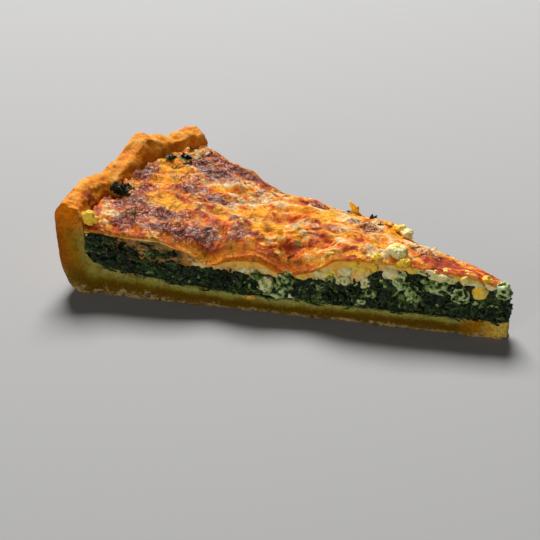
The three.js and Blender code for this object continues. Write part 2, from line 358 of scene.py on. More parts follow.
class Finish:
    """A material, built up node by node, that reads the piece's own coordinates."""

    def __init__(self, name):
        self.material = bpy.data.materials.new(name)
        self.material.use_nodes = True
        self.tree = self.material.node_tree
        self.tree.nodes.clear()
        output = self.add("ShaderNodeOutputMaterial")
        self.surface = self.add("ShaderNodeBsdfPrincipled")
        self.tree.links.new(self.surface.outputs[0], output.inputs["Surface"])
        self.where = self.add("ShaderNodeTexCoord").outputs["Object"]

    def add(self, kind, settings=None, values=None):
        """A node of this kind. Settings come first, then the values or links of its sockets."""
        node = self.tree.nodes.new(kind)
        for name, value in (settings or {}).items():
            setattr(node, name, value)
        named = values.items() if isinstance(values, dict) else enumerate(values or [])
        for name, value in named:
            self.feed(node.inputs[name], value)
        return node

    def feed(self, socket, value):
        if isinstance(value, Amount):
            value = value.socket
        if isinstance(value, bpy.types.NodeSocket):
            self.tree.links.new(value, socket)
        elif isinstance(value, tuple) and len(value) == 3 and socket.type == "RGBA":
            socket.default_value = (*value, 1)
        else:
            socket.default_value = value

    def painted(self, name):
        node = self.add("ShaderNodeAttribute", {"attribute_name": name})
        return Amount(self, node.outputs["Fac"])

    def grain(self, size, detail=3, roughness=0.5, distortion=0.0, seed=0.0):
        """Noise from 0 to 1 in lumps of about this size in millimetres."""
        values = {
            "Vector": self.moved(seed),
            "Scale": 1 / (size * MM),
            "Detail": detail,
            "Roughness": roughness,
            "Distortion": distortion,
        }
        node = self.add("ShaderNodeTexNoise", {"noise_dimensions": "3D"}, values)
        return Amount(self, node.outputs["Fac"])

    def moved(self, seed):
        """The piece's own coordinates, moved by a distance that depends on the seed."""
        if not seed:
            return self.where
        shift = (seed * 0.013, seed * 0.029, seed * 0.017)
        return self.add("ShaderNodeVectorMath", {"operation": "ADD"}, [self.where, shift]).outputs[0]

    def mix(self, share, low, high):
        """A colour between two others. A Mix node's colours are its sockets 6 and 7, and its output 2."""
        settings = {"data_type": "RGBA", "clamp_factor": True}
        return self.add("ShaderNodeMix", settings, {0: share, 6: low, 7: high}).outputs[2]

    def ramp(self, amount, *stops):
        """A colour from stops of place and colour."""
        node = self.add("ShaderNodeValToRGB", None, {"Fac": amount})
        band = node.color_ramp
        while len(band.elements) < len(stops):
            band.elements.new(0.5)
        for element, (at, colour) in zip(band.elements, stops):
            element.position = at
            element.color = (*colour, 1)
        return node.outputs["Color"]

    def bumps(self, *layers):
        """A normal from layers of height and how many millimetres each stands out."""
        normal = None
        for height, depth in layers:
            values = {"Height": height, "Distance": depth * MM, "Strength": 1.0}
            if normal is not None:
                values["Normal"] = normal
            normal = self.add("ShaderNodeBump", None, values).outputs[0]
        return normal

    def finished(self, **sockets):
        for name, value in sockets.items():
            self.feed(self.surface.inputs[name.replace("_", " ")], value)
        return self.material


def cheese_finish():
    """Melted cheese, oily and orange, browned dark on its blisters and pale where it is thick."""
    f = Finish("melted_cheese")
    browned = f.painted("browned")
    lip = f.painted("lip")
    yolk = f.painted("yolk")
    broad = f.grain(5.5, 3, 0.6, 1.2)
    blot = f.grain(2.2, 4, 0.65, 1.2, seed=9)
    fine = f.grain(0.9, 4, 0.65, 0.8, seed=3)
    speck = f.grain(0.38, 3, 0.65, 0.3, seed=5)
    tone = broad * 0.24 + blot * 0.42 + fine * 0.34 + f.painted("strands").swing(0.26)
    tone = tone.swing(1.2) + 0.5 - f.painted("toasted") * 0.13 + f.painted("pale") * 0.14
    colour = f.ramp(
        tone,
        (0.34, (0.36, 0.036, 0.005)),
        (0.41, (0.68, 0.088, 0.004)),
        (0.47, (0.93, 0.20, 0.003)),
        (0.53, (0.98, 0.36, 0.012)),
        (0.585, (0.98, 0.51, 0.13)),
        (0.65, (0.99, 0.70, 0.38)),
    )
    wet = (yolk + blot.swing(1.4) + fine.swing(0.8)).step(0.3, 0.52)
    runny = f.mix((fine * 0.6 + blot * 0.4).step(0.42, 0.58), (0.97, 0.24, 0.002), (1.0, 0.52, 0.012))
    colour = f.mix(wet, colour, runny)
    crust = (browned + fine.swing(1.5) + speck.swing(0.9)).step(0.33, 0.62)
    # Browned cheese, dark red-brown from browning; the pale pink stop, reached on the finest specks, is
    # painted highlights.
    browns_and_painted_glints = f.ramp(
        speck * 0.45 + fine * 0.3 + blot * 0.25,
        (0.36, (0.075, 0.013, 0.008)),
        (0.45, (0.23, 0.036, 0.011)),
        (0.53, (0.42, 0.098, 0.045)),
        (0.62, (0.60, 0.26, 0.19)),
    )
    colour = f.mix(crust * 0.9, colour, browns_and_painted_glints)
    scorched = (browned + blot.swing(2.2) + speck.swing(0.9)).step(0.82, 1.06)
    colour = f.mix(scorched * 0.7, colour, (0.050, 0.011, 0.011))
    colour = f.mix(f.painted("creased") * 0.75, colour, (0.20, 0.022, 0.005))
    greened = (f.painted("greened") + fine.swing(0.9)).step(0.55, 0.75) * 0.85
    colour = f.mix(greened, colour, (0.10, 0.13, 0.015))
    edge = f.ramp(
        tone * 0.6 + 0.235,
        (0.38, (0.80, 0.12, 0.002)),
        (0.46, (0.97, 0.27, 0.003)),
        (0.54, (0.98, 0.40, 0.008)),
        (0.63, (0.98, 0.62, 0.12)),
    )
    colour = f.mix(lip, colour, edge)
    inside = f.painted("inside")
    colour = f.mix(inside, colour, f.mix(fine.step(0.35, 0.65), (0.92, 0.27, 0.008), (0.93, 0.46, 0.08)))
    ripple = f.grain(1.5, 1, 0.4, 1.6, seed=19)
    shiny = (browned * 1.5 + broad.swing(1.4) + blot.swing(1.4)).step(0.15, 0.75)
    roughness = 0.72 - shiny * 0.48
    glint = (speck * 0.6 + fine * 0.4).step(0.53, 0.66)
    normal = f.bumps(
        (blot, 1.0),
        (ripple * (0.12 + shiny * 0.6), 2.2),
        (fine * (0.8 - shiny * 0.4), 0.6),
        (speck * (0.9 - shiny * 0.6), 0.25),
    )
    return f.finished(
        Base_Color=colour, Roughness=roughness, Normal=normal, Specular_IOR_Level=0.2,
        Coat_Weight=shiny * 0.07 + glint * 0.2, Coat_Roughness=0.2,
        Subsurface_Weight=0.12, Subsurface_Radius=(1.0, 0.35, 0.08), Subsurface_Scale=0.0012,
    )


def pastry_finish():
    """Baked shortcrust: golden outside, ochre and crumbly where cut, olive where the filling soaked in."""
    f = Finish("baked_pastry")
    depth = f.painted("depth")
    height = f.painted("height")
    broad = f.grain(6, 3, 0.55, 0.6)
    blot = f.grain(2.4, 4, 0.6, 0.6, seed=2)
    fine = f.grain(0.9, 4, 0.65, seed=3)
    crumb = f.grain(0.38, 3, 0.6, seed=4)
    golden = f.ramp(
        broad * 0.46 + blot * 0.36 + fine * 0.18,
        (0.37, (0.48, 0.085, 0.002)),
        (0.45, (0.66, 0.185, 0.004)),
        (0.53, (0.73, 0.275, 0.016)),
        (0.62, (0.76, 0.39, 0.10)),
    )
    # Darker red-brown on the pastry: partly darker baking, partly painted shade in the hollows of the rim.
    baked = (f.painted("bake") + blot.swing(1.6)).step(0.35, 0.8) * 0.9
    golden = f.mix(baked, golden, (0.26, 0.028, 0.004))
    floor_cut = f.ramp(
        depth + fine.swing(0.3) + blot.swing(0.4) + broad.swing(0.5),
        (0.0, (0.30, 0.18, 0.04)),
        (0.10, (0.20, 0.105, 0.003)),
        (0.38, (0.145, 0.070, 0.001)),
        (0.54, (0.19, 0.115, 0.003)),
        (0.68, (0.34, 0.30, 0.040)),
        (0.85, (0.46, 0.45, 0.12)),
        (0.97, (0.20, 0.23, 0.045)),
    )
    wall_cut = f.ramp(
        depth + fine.swing(0.35),
        (0.0, (0.44, 0.090, 0.001)),
        (0.3, (0.43, 0.145, 0.001)),
        (0.65, (0.36, 0.205, 0.008)),
        (1.0, (0.38, 0.345, 0.08)),
    )
    section = f.mix(height.step(0.16, 0.42), floor_cut, wall_cut)
    section = f.mix(height.step(0.62, 0.92), section, (0.90, 0.23, 0.002))
    tip = f.painted("tip") + blot.swing(1.0)
    section = f.mix(tip.step(0.05, 0.45), section, (0.50, 0.20, 0.003))
    section = f.mix(tip.step(0.55, 0.95), section, (1.0, 0.70, 0.12))
    section = f.mix(blot.step(0.46, 0.62) * 0.4, section, (0.15, 0.07, 0.002))
    section = f.mix(crumb.step(0.54, 0.66) * 0.5, section, (0.12, 0.05, 0.002))
    flaky = (f.painted("flaky") + crumb.swing(1.8) + blot.swing(3.0)).step(0.6, 0.85)
    section = f.mix(flaky, section, (0.50, 0.35, 0.15))
    colour = f.mix(f.painted("cut"), golden, section)
    grainy = 0.45 + f.painted("cut") * 0.55
    normal = f.bumps((broad, 0.9), (blot, 0.6), (fine * grainy, 0.7), (crumb * grainy, 0.4))
    return f.finished(
        Base_Color=colour, Roughness=0.62 + blot.swing(1.2), Normal=normal, Specular_IOR_Level=0.08,
        Subsurface_Weight=0.1, Subsurface_Radius=(1.0, 0.4, 0.08), Subsurface_Scale=0.001,
    )


def leaf_finish():
    """Cooked spinach: dark green, moist, with paler stems; nearly black where painted shade lies in the folds
    of curly leaf, pale where painted highlights lie on its ruffles.
    """
    f = Finish("cooked_spinach")
    tone = f.painted("tone")
    fine = f.grain(0.9, 4, 0.6, seed=6)
    vein = f.grain(0.35, 2, 0.5, seed=8)
    colour = f.ramp(
        tone + fine.swing(0.6),
        (0.0, (0.004, 0.008, 0.003)),
        (0.25, (0.014, 0.030, 0.007)),
        (0.48, (0.060, 0.105, 0.014)),
        (0.7, (0.23, 0.33, 0.075)),
        (1.0, (0.60, 0.70, 0.34)),
    )
    normal = f.bumps((fine, 0.5), (vein, 0.2))
    return f.finished(Base_Color=colour, Roughness=0.2 + fine * 0.3, Normal=normal, Specular_IOR_Level=0.32)


def custard_finish():
    """Set egg custard, cream, orange under the cheese and greenish brown near the spinach."""
    f = Finish("egg_custard")
    warm = f.painted("warm")
    broad = f.grain(3.2, 4, 0.6, 0.5, seed=12)
    fine = f.grain(0.8, 4, 0.6, seed=13)
    colour = f.ramp(
        broad * 0.6 + fine * 0.4,
        (0.38, (0.52, 0.29, 0.06)),
        (0.5, (0.76, 0.49, 0.15)),
        (0.6, (0.86, 0.68, 0.32)),
    )
    pale = f.painted("pale")
    colour = f.mix(pale, colour, f.mix(broad.step(0.4, 0.6), (0.80, 0.52, 0.14), (0.86, 0.82, 0.50)))
    warmed = (warm + fine.swing(1.4) + broad.swing(1.6)).step(0.35, 0.8) * 0.9
    colour = f.mix(warmed, colour, (0.93, 0.45, 0.04))
    stain = f.mix(broad.step(0.42, 0.62), (0.085, 0.050, 0.007), (0.42, 0.17, 0.022))
    stained = (f.painted("stained") + fine.swing(0.8)).step(0.3, 0.6) * 0.94
    colour = f.mix(stained, colour, stain)
    normal = f.bumps((broad, 0.6), (fine, 0.4))
    return f.finished(
        Base_Color=colour, Roughness=0.45, Normal=normal, IOR=1.4, Subsurface_Weight=0.15,
        Subsurface_Radius=(1.0, 0.6, 0.25), Subsurface_Scale=0.001,
    )


def curd_finish():
    """Soft white cheese with a little green whey, leaf or browning on it."""
    f = Finish("crumbled_cheese")
    fine = f.grain(0.7, 4, 0.6, seed=15)
    broad = f.grain(2.5, 3, 0.5, seed=16)
    colour = f.mix(broad.step(0.35, 0.65), (0.74, 0.66, 0.26), (0.84, 0.82, 0.50))
    colour = f.mix((f.painted("greened") + fine.swing(1.5)).step(0.45, 0.9), colour, (0.18, 0.30, 0.07))
    golden = f.painted("golden") + fine.swing(0.9) + broad.swing(0.6)
    colour = f.mix(golden.step(0.1, 0.4), colour, (0.95, 0.61, 0.045))
    colour = f.mix(golden.step(0.5, 0.95), colour, (0.92, 0.38, 0.03))
    normal = f.bumps((broad, 0.5), (fine, 0.4))
    return f.finished(
        Base_Color=colour, Roughness=0.45, Normal=normal, Specular_IOR_Level=0.2, Subsurface_Weight=0.15,
        Subsurface_Radius=(1.0, 0.8, 0.45), Subsurface_Scale=0.001,
    )


# --- Crust ----------------------------------------------------------------------------------------


def pinched(points):
    """The rim rises, falls and leans where it was pinched."""
    x = points[:, 0] - CENTRE_X
    angle = np.degrees(np.arctan2(points[:, 1], -x))
    lift = sum(height * hump(angle, at, width) for at, height, width in RIM_PINCHES)
    share = smooth(points[:, 2], 13, WALL_HEIGHT)
    radius = np.hypot(x, points[:, 1])
    stretch = 1 + 0.55 * lift * share / radius
    return np.stack([CENTRE_X + x * stretch, points[:, 1] * stretch, points[:, 2] + lift * share], -1)


def crust(finish):
    piece = block("crust_baked", 330, 96, 14)
    x, y, z = corners(piece).T
    middle = (OUTER_FACE + INNER_FACE) / 2
    run = np.concatenate([[0], np.cumsum(np.hypot(*np.diff(middle, axis=0).T))])
    position = np.interp((0.5 - x) * run[-1], run, np.arange(len(run)))
    depth = z + 0.5
    across = crowded(2 * y)
    outer, inner = through(OUTER_FACE, position), through(INNER_FACE, position)
    radius, height = blend(outer, inner, depth[:, None]).T
    rim = smooth(position, len(run) - 2.5, len(run) - 1)
    height = height + 0.5 * np.sin(np.pi * depth) ** 0.7 * rim
    points = pinched(fan(radius, across, height))

    wall = smooth(position, 6, 9)
    outside = smooth(depth, 0.3, 0.0)
    edge = edge_distance(radius, across)
    at_cut = smooth(edge, 1.6, 0.0)
    lumpy = 0.45 * rough(points, 6, 1) + 0.2 * crests(warped(points, 5, 2, 2), 4.5, 3)
    outwards = np.stack([-np.cos(across * HALF_ANGLE), np.sin(across * HALF_ANGLE), 0 * x], -1)
    points += outwards * (lumpy * wall * outside)[:, None] * 0.7
    upper = smooth(position, 8, 10) * smooth(depth, 0.0, 1.0)
    points += outwards * (rough(points, 4, 4) * 0.5 * upper)[:, None]
    flakes = 0.6 * crests(warped(points, 6, 2.5, 5), 6, 6) - 0.3 + 0.18 * rough(points, 2.4, 7)
    points[:, 2] += (0.4 * rough(points, 4.5, 8) + flakes) * rim
    torn = 0.2 * rough(points, 2.6, 9) + 0.16 * rough(points, 0.9, 10)
    torn += 0.9 * np.maximum(rough(points, 2.6, 11), 0) * smooth(points[:, 2], 19, 25)
    base_line = smooth(points[:, 2], 1.7 + 2.2 * smooth(radius, 95, 120), 0.3)
    flaky = np.maximum(rough(points * (1, 1, 3), 2.4, 12), 0) * base_line
    stand_out(points, across, (torn + 0.8 * flaky) * at_cut)
    points[:, 2] += 0.5 * np.maximum(rough(points, 3, 13), 0) * base_line * at_cut
    points[:, 2] = np.maximum(points[:, 2], 0)

    angle = np.degrees(across * HALF_ANGLE)
    # Painted shade, with darker baking, in two hollows on the inner face of the rim, and uneven darker baking
    # over the whole wall.
    shaded_hollow = 0.75 * hump(angle, -11, 2.2) + 0.3 * hump(angle, 4.5, 1.6)
    bake = shaded_hollow * smooth(depth, 0.5, 0.9) * wall + 0.25 * rough(points, 5, 14) * wall
    store(
        piece, points, depth=depth,
        cut=np.maximum(smooth(edge, 0.3, 0.05), smooth(radius, 6.2, 6.05)),
        bake=bake,
        height=points[:, 2] / WALL_HEIGHT,
        tip=smooth(radius, 24, 5),
        flaky=base_line * (0.85 + 0.4 * rough(points, 6, 15)),
    )
    shade(piece, finish, "pastry", "pastry_crust")


# --- Filling --------------------------------------------------------------------------------------


def layer(name, low, high, divisions, outer=WALL_INNER_RADIUS - 0.2, inner=TIP_RADIUS):
    """A block bent into a layer of the slice: the piece, its points, and each one's place in the layer."""
    piece = block(name, *divisions)
    x, y, z = corners(piece).T
    across = crowded(2 * y)
    radius = blend(outer, inner, x + 0.5)
    share = z + 0.5
    height = blend(low(radius, across), high(radius, across), share)
    return piece, fan(radius, across, height), radius, across, share


def stand_out(points, across, amount):
    """Moves points out of the cut faces by an amount."""
    side = np.sign(across)
    points[:, 0] += amount * np.sin(HALF_ANGLE)
    points[:, 1] += side * amount * np.cos(HALF_ANGLE)


# Patches on the cheese: radius, angle in degrees, half sizes along and across
BLISTERED = [
    (121.8, 9, 5, 3.5), (119.5, 3.8, 6, 3), (113.3, 7.9, 6, 4), (111.3, 1, 5, 3.4), (102.3, -0.8, 5, 2.6),
    (124, -7.9, 6, 5), (111.6, -9.2, 6, 4), (106, -13.1, 9, 2.4), (121.1, -12.4, 5, 3.5),
    (98.3, -12, 7, 2.6), (126.2, -3.5, 3, 4), (130.3, 1.8, 3, 5), (52.3, 2.7, 5, 3.6), (63.3, -1.4, 5, 3),
    (49.4, -11.4, 4, 2.2), (117, 13, 5, 3), (106, 11.6, 8, 4), (98, 13, 6, 3), (86, -10.8, 4, 2),
    (75, 9.4, 4, 2.6), (29, -3, 6, 1.6), (67, -6.5, 3, 2), (128, 13, 5, 4), (91, 5, 3, 2), (90, -5.5, 3, 2),
    (58, 6.5, 3, 2),
]
TOASTED = [
    (80.3, -1.1, 4, 3), (92.2, -8.3, 5, 2.4), (117.9, 13.2, 7, 3), (52.4, -11.6, 5, 2.6),
    (36.6, -7.8, 5, 2.6), (17.3, -5, 9, 3), (27, -9, 7, 2.4), (133, -10.4, 3, 6), (78.5, 9.9, 5, 3.4),
    (103.2, -8, 4, 3), (108.4, -2.1, 4, 3), (85.7, -10.4, 6, 2.4), (68, -12.5, 7, 2.5), (105, -13.7, 16, 2),
    (24, 2, 8, 2), (101, 11, 12, 4), (125, -3, 4, 3), (118, -14.6, 12, 1.4), (60, -9, 4, 2),
    (95, 3.2, 3, 2), (70, 0, 3, 2), (28, -13, 9, 1.2),
]
YOLKY = [
    (128.3, 7.2, 4, 4), (124.2, 4.8, 5, 3), (122.3, 0.9, 4, 3), (116.6, -3.6, 5, 3), (112.4, -5.6, 6, 3),
    (85.8, -0.7, 5, 2), (77, 4.1, 4, 3), (68.4, 3.8, 5, 3), (62.6, 12, 4, 3), (50.6, 12.6, 3, 3),
    (44.3, 9.1, 3, 4), (79.9, -7, 5, 3), (73, -9, 4, 2.4), (96, -4.8, 4, 2), (104, 2.6, 3, 2),
    (57, -4.6, 3, 2), (46, -5, 3, 2), (129, -2, 2, 3), (88, -3.6, 4, 2), (55, -14.6, 8, 1.2),
    (130, 12, 2, 4),
]
PALE = [
    (97.8, -0.3, 4, 3.4), (101.9, 6.2, 6, 3.4), (87.3, 1.4, 4, 2), (55.8, -9.6, 4.5, 2.6),
    (40.4, -10.6, 5, 3), (92.9, -3, 3, 2.6), (43.3, 1.3, 5, 3), (79.5, 4.8, 3, 2), (107.1, 6.6, 4, 2.6),
    (62, -12.4, 3, 2), (90, 8.5, 5, 3), (73, 7.4, 3, 2), (51, 9.5, 4, 3), (108, -7.6, 2, 2),
    (84, -6.2, 3, 2), (62, 5, 3, 3), (72, -3.4, 3, 2), (35, 5, 5, 3), (118, 6.4, 3, 2), (45, -12.4, 5, 1.6),
]
# Where cheese has melted without losing its crumbs
CRUMBLY = [
    (42, -9, 7, 3.4), (42, 7, 6, 4), (53, 11, 6, 3), (62, 9, 5, 3), (57, -9, 4, 2.5), (88, 6, 5, 3),
    (120, 4, 5, 4), (77, -8.5, 5, 3), (127, -12.8, 3, 3), (100, 6, 5, 3), (128, 12, 3, 3), (35, 7, 5, 2.6),
]
GREENED = [
    (127.5, 7.6, 3, 2.5), (123, 6.2, 2.4, 2), (121, -10.8, 1.6, 1.6), (69.5, -9, 3, 1), (125, 10, 2, 2),
]


def patches(points, places, seed):
    """How far inside a set of patches each point is, with uneven edges."""
    bent = warped(points, 5, 2.6, seed)
    found = np.zeros(len(points))
    for radius, angle, along, around in places:
        middle = place(np.array([radius]), np.radians([angle]), 0)[0, :2]
        towards = np.radians(angle)
        off = bent[:, :2] - middle
        outwards = (-off[:, 0] * np.cos(towards) + off[:, 1] * np.sin(towards)) / along
        sideways = (off[:, 0] * np.sin(towards) + off[:, 1] * np.cos(towards)) / around
        found = np.maximum(found, np.exp(-0.8 * (outwards**2 + sideways**2)))
    return found


def blisters(points, size, seed):
    """Round blisters of uneven size, 1 at their tops, spread at random over the slice."""
    scaled = points[:, :2] / size + 40 + seed * 3.7
    cells = np.floor(scaled).astype(int)
    raised = np.zeros(len(points))
    for offset in np.ndindex(3, 3):
        near = cells + offset - 1
        column, row, wide = scattered(near, seed).T
        off = (scaled[:, 0] - near[:, 0] - column) ** 2 + (scaled[:, 1] - near[:, 1] - row) ** 2
        height = np.maximum(1 - off / (0.15 + 0.6 * wide) ** 2, 0) ** 1.3 * (0.4 + 0.6 * wide)
        raised = np.maximum(raised, height)
    return raised


def cheese(finish):
    piece, points, radius, across, share = layer(
        "cheese_browned", cheese_bottom, top_height, (300, 155, 7), inner=TIP_RADIUS + 2
    )
    flat = points * (1, 1, 0)
    edge = edge_distance(radius, across)
    by_radius = 0.15 + 0.85 * hump(radius, 92, 19) + 0.45 * hump(radius, 64, 9)
    lip = smooth(edge, 3.4, 0.8) * by_radius * smooth(radius, 26, 36) * np.where(across < 0, 1, 0.7)
    yolk = patches(flat, YOLKY, 27) * (1 - 0.6 * lip)
    browned = patches(flat, BLISTERED, 21) * (1 - 0.8 * lip) * (1 - 0.6 * yolk)
    browned *= 0.62 + 0.38 * smooth(radius, 65, 95)
    toasted = patches(flat, TOASTED, 23) * (1 - lip)
    pale = patches(flat, PALE, 25) * (1 - lip)
    crumbly = patches(flat, CRUMBLY, 49)
    at_cut = smooth(edge, 1.5, 0.0)
    tip = smooth(radius, 10, 24)

    bent = warped(flat, 6, 2.2, 31)
    fold = 3.4 * noise(warped(flat, 9, 3, 33), 19, 33)
    fold = fold - np.floor(fold)
    fold = fold * smooth(fold, 1.0, 0.88)
    crusty = 0.35 + browned
    relief = 0.3 * rough(flat, 8, 39, 2) + 0.42 * (fold - 0.4) + 0.35 * blisters(bent, 6.5, 5)
    wrinkles = 0.34 * crests(bent, 3.2, 35) ** 1.5 + 0.32 * crests(warped(flat, 2, 0.8, 36), 1.7, 37)
    relief += wrinkles * crusty
    relief += 0.3 * blisters(warped(flat, 2, 0.5, 40), 2, 3) * crusty
    relief = relief * (1 - 0.7 * np.maximum(yolk, lip)) * (0.45 + 0.55 * tip) - 0.3 * yolk
    bits = crumbs(warped(flat, 5, 2.6, 50) * (0.6, 1, 1), 1.9, 4) + 0.4 * crumbs(flat, 1.1, 7)
    relief += 1.3 * smooth(crumbly, 0.25, 0.8) * (bits - 0.3)
    relief = relief - 0.5 * smooth(edge, 1.4, 0.0) - 1.1 * lip + 0.9 * hump(radius, 133.5, 2)
    points[:, 2] += relief * share
    bulge = 0.6 * np.sin(np.pi * share) + 0.3 * rough(points, 3.5, 41) + 0.12 * rough(points, 1.2, 43)
    stand_out(points, across, bulge * at_cut)

    raised = np.clip(relief + 0.1, -0.5, 1)
    far_out = smooth(radius, 75, 100)
    browned = browned * (0.75 + 0.6 * raised) + (0.17 + 0.09 * far_out) * rough(flat, 2.6, 45)
    browned += 0.17 * far_out
    strands = 0.5 + 0.5 * rough(warped(flat, 7, 3, 46) * (0.45, 1, 1), 3.2, 46) + 0.3 * relief
    pale = np.maximum(pale, smooth(crumbly, 0.3, 0.8) * smooth(bits, 0.25, 0.7) * 0.75)
    inside = at_cut * smooth(share, 0.5, 0.1)
    lip = np.maximum(lip * (0.8 + 0.4 * rough(flat, 3, 47)), at_cut * smooth(share, 0.95, 0.6) * 0.8)
    browned = browned * (1 - 0.7 * yolk) * (1 - 0.75 * smooth(crumbly, 0.2, 0.7))
    store(
        piece, points, browned=browned, strands=strands, toasted=toasted, pale=pale, yolk=yolk,
        inside=inside, lip=lip, greened=patches(flat, GREENED, 29),
        creased=smooth(fold, 0.62, 0.88) * smooth(relief, 0.6, -0.2),
    )
    shade(piece, finish, "browned_cheese", "cheese_topping")


def custard(finish):
    def low(radius, across):
        return spinach_top(radius, across) - 0.2

    def high(radius, across):
        return cheese_bottom(radius, across) + 0.2

    piece, points, radius, across, share = layer("custard_set", low, high, (280, 40, 14))
    at_cut = smooth(edge_distance(radius, across), 1.5, 0.0)
    bulge = 0.4 * rough(points, 4, 51) + 0.25 * rough(points, 1.3, 53) - 0.15
    bulge += 1.3 * (crumbs(warped(points, 2, 0.8, 52), 2.8, 5) - 0.3) * smooth(radius, 80, 62)
    stand_out(points, across, bulge * at_cut)
    near_wall = smooth(radius, 93, 103) * smooth(radius, 132, 129)
    stained = near_wall * (1.1 + 0.7 * rough(points * (0.6, 0.6, 2), 3, 55, 2)) * smooth(share, 0.98, 0.8)
    stained = stained + 0.4 * smooth(share, 0.3, 0.0)
    drips = 0.5 * rough(points * (1, 1, 0.3), 3, 57) + 0.4 * hump(radius, 51, 8)
    drips += 0.15 * smooth(radius, 66, 40)
    drips += 0.3 * hump(radius, 80, 16) - 0.6 * smooth(radius, 36, 26)
    store(piece, points, stained=stained, warm=smooth(share + drips, 0.55, 1.0), pale=smooth(radius, 38, 26))
    shade(piece, finish, "custard", "custard_layer")


def spinach_core(finish):
    def low(radius, _across):
        return floor_top(radius) + 0.05

    outer = WALL_INNER_RADIUS - 0.6
    piece, points, radius, across, _ = layer("spinach_core", low, spinach_top, (320, 36, 28), outer)
    at_cut = smooth(edge_distance(radius, across), 1.5, 0.0)
    strands = 0.5 * rough(points * (0.5, 0.5, 2.2), 2.4, 61) - 0.35
    broad_curls = crests(warped(points, 4, 1.6, 62), 2.6, 63)
    fine_curls = crests(warped(points, 2, 0.8, 64), 1.4, 65)
    curly = 1.1 * broad_curls + 0.6 * fine_curls - 0.75
    leafy = smooth(radius, 85, 50)
    bulge = blend(strands, curly, leafy)
    stand_out(points, across, bulge * at_cut)
    points[:, 0] += 0.5 * curly * smooth(radius, 8.5, TIP_RADIUS)
    streaks = rough(points * (0.3, 0.3, 2), 1.6, 66)
    # Near the tip the tone follows how far the curly leaf stands out of the cut: painted highlights on what
    # stands out, painted shade in the gaps.
    tone = blend(0.24 + 0.4 * streaks, 0.02 + 0.4 * np.clip(bulge + 0.1, 0, 1.5), leafy)
    store(piece, points, tone=tone)
    shade(piece, finish, "spinach", "spinach_layer")


# --- Small bits -----------------------------------------------------------------------------------


def spot(radius, angle, height=None, out=0.0):
    """A point at a radius, an angle in degrees and a height, or on the cheese when no height is given."""
    turn = math.radians(angle)
    if height is None:
        height = float(top_height(radius, turn / HALF_ANGLE))
    side = math.copysign(1, angle)
    return np.array([
        CENTRE_X - radius * math.cos(turn) + out * math.sin(HALF_ANGLE),
        radius * math.sin(turn) + side * out * math.cos(HALF_ANGLE),
        height,
    ])


def turned(points, angles):
    """Points turned about X, then Y, then Z."""
    for axis, angle in enumerate(angles):
        c, s = math.cos(angle), math.sin(angle)
        a, b = (axis + 1) % 3, (axis + 2) % 3
        moved = points.copy()
        moved[:, a] = c * points[:, a] - s * points[:, b]
        moved[:, b] = s * points[:, a] + c * points[:, b]
        points = moved
    return points


def taken(piece):
    """The points, in millimetres, and the faces of a pattern, which is then removed."""
    flat = corners(piece)
    faces = [tuple(face.vertices) for face in piece.data.polygons]
    bpy.data.objects.remove(piece)
    return flat, faces


def leaf_pattern(columns, rows, shape, thickness):
    """A small leaf round the origin, wavy and as thick as it is made."""
    deselect()
    bpy.ops.mesh.primitive_grid_add(x_subdivisions=columns, y_subdivisions=rows, size=1)
    leaf = bpy.context.active_object
    flat = corners(leaf)
    leaf.data.vertices.foreach_set("co", shape(flat[:, 0], flat[:, 1]).ravel())
    thick = leaf.modifiers.new("thickness", "SOLIDIFY")
    thick.thickness = thickness
    thick.offset = 0
    bpy.ops.object.modifier_apply(modifier="thickness")
    return taken(leaf)


def strand_shape(phase):
    """A strip of leaf, 6 long and wavy."""
    def shape(x, y):
        wave = 0.4 * np.sin(x * 5 + phase) + 0.3 * np.sin(x * 12 + 2 * phase)
        width = y * (2.2 - 2.4 * x * x) + 0.3 * np.sin(x * 9)
        return np.stack([x * 6, width, wave + y * np.sin(x * 6 + phase)], -1)
    return shape


def crumple_shape(phase):
    """A crinkled leaf, folded over itself."""
    def shape(x, y):
        bend = 2.4 * y
        ruffle = 0.6 * np.sin(x * 9 + phase) * np.cos(y * 7 + 2 * phase)
        ruffle += 0.35 * np.sin(x * 15 - y * 9 + phase)
        return np.stack([
            x * 3.6 * (1 - 0.35 * np.abs(y)),
            1.3 * np.sin(bend) + ruffle * np.cos(bend),
            1.3 * (1 - np.cos(bend)) - 0.7 + ruffle * np.sin(bend) * 0.9,
        ], -1)
    return shape


def away(points):
    """Directions from the origin to points."""
    return points / np.linalg.norm(points, axis=1)[:, None]


def crumb_pattern(seed, dents, levels=2):
    """A rough crumb, 1 across."""
    deselect()
    bpy.ops.mesh.primitive_ico_sphere_add(subdivisions=levels, radius=0.5)
    crumb = bpy.context.active_object
    points = corners(crumb)
    points = points * (1 + dents * rough(points, 0.5, seed))[:, None]
    crumb.data.vertices.foreach_set("co", points.ravel())
    return taken(crumb)


def joined(name, bits, finish, slot):
    """One piece of many bits, each with its points, its faces and its painted values."""
    mesh = bpy.data.meshes.new(name)
    starts = np.cumsum([0] + [len(points) for points, _, _ in bits])
    faces = [tuple(start + i for i in face) for start, bit in zip(starts, bits) for face in bit[1]]
    mesh.from_pydata(np.concatenate([points for points, _, _ in bits]) * MM, [], faces)
    for key in bits[0][2]:
        values = np.concatenate([np.broadcast_to(painted[key], len(points)) for points, _, painted in bits])
        mesh.attributes.new(key, "FLOAT", "POINT").data.foreach_set("value", values.astype(np.float32))
    piece = bpy.data.objects.new(name, mesh)
    bpy.context.scene.collection.objects.link(piece)
    shade(piece, finish, slot)


LUMPS = {
    name: [np.array(corner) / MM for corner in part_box(name)]
    for name in sorted(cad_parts) if name.startswith("cheese_lump_")
}


def hides_lump(point, margin=0.4):
    """Whether a bit at this point would cover a lump of cheese."""
    return any(
        np.all(point > low - margin) and np.all(point < high + margin) for low, high in LUMPS.values()
    )
